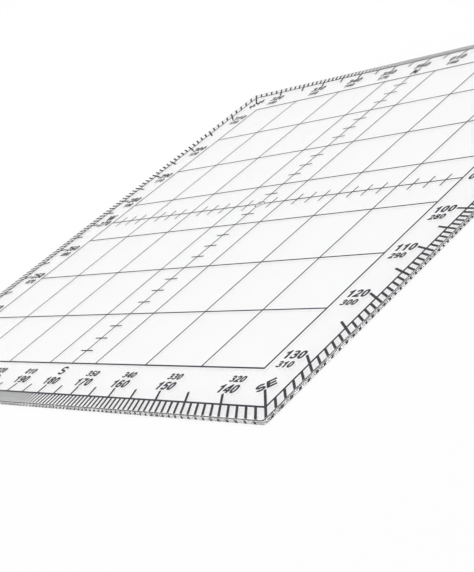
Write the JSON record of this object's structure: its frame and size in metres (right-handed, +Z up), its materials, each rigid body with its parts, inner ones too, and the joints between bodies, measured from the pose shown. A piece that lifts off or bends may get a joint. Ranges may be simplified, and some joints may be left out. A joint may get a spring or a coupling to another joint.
{
  "type": "square protractor",
  "caption": "Clear square chart protractor with a degree scale along its four edges, a printed grid of squares and a small hole at its centre.",
  "frame": {"origin": "middle of the sheet's outline, on its underside", "axes": "+Z up out of the printed face, +Y to north on the scale (bearing 0), +X to east (bearing 90)"},
  "size_m": [0.1274, 0.1274, 0.0007],
  "materials": {
    "clear_plastic": "clear, polished",
    "black_ink": "screen printed ink, satin"
  },
  "bodies": {
    "root": {"clear_sheet": "clear_plastic", "degree_scale": "black_ink", "chart_grid": "black_ink", "letter_north": "black_ink", "letter_east": "black_ink", "letter_south": "black_ink", "letter_west": "black_ink", "letters_north_east_n": "black_ink", "letters_north_east_e": "black_ink", "letters_south_east_s": "black_ink", "letters_south_east_e": "black_ink", "letters_south_west_s": "black_ink", "letters_south_west_w": "black_ink", "letters_north_west_n": "black_ink", "letters_north_west_w": "black_ink"}
  },
  "joints": []
}
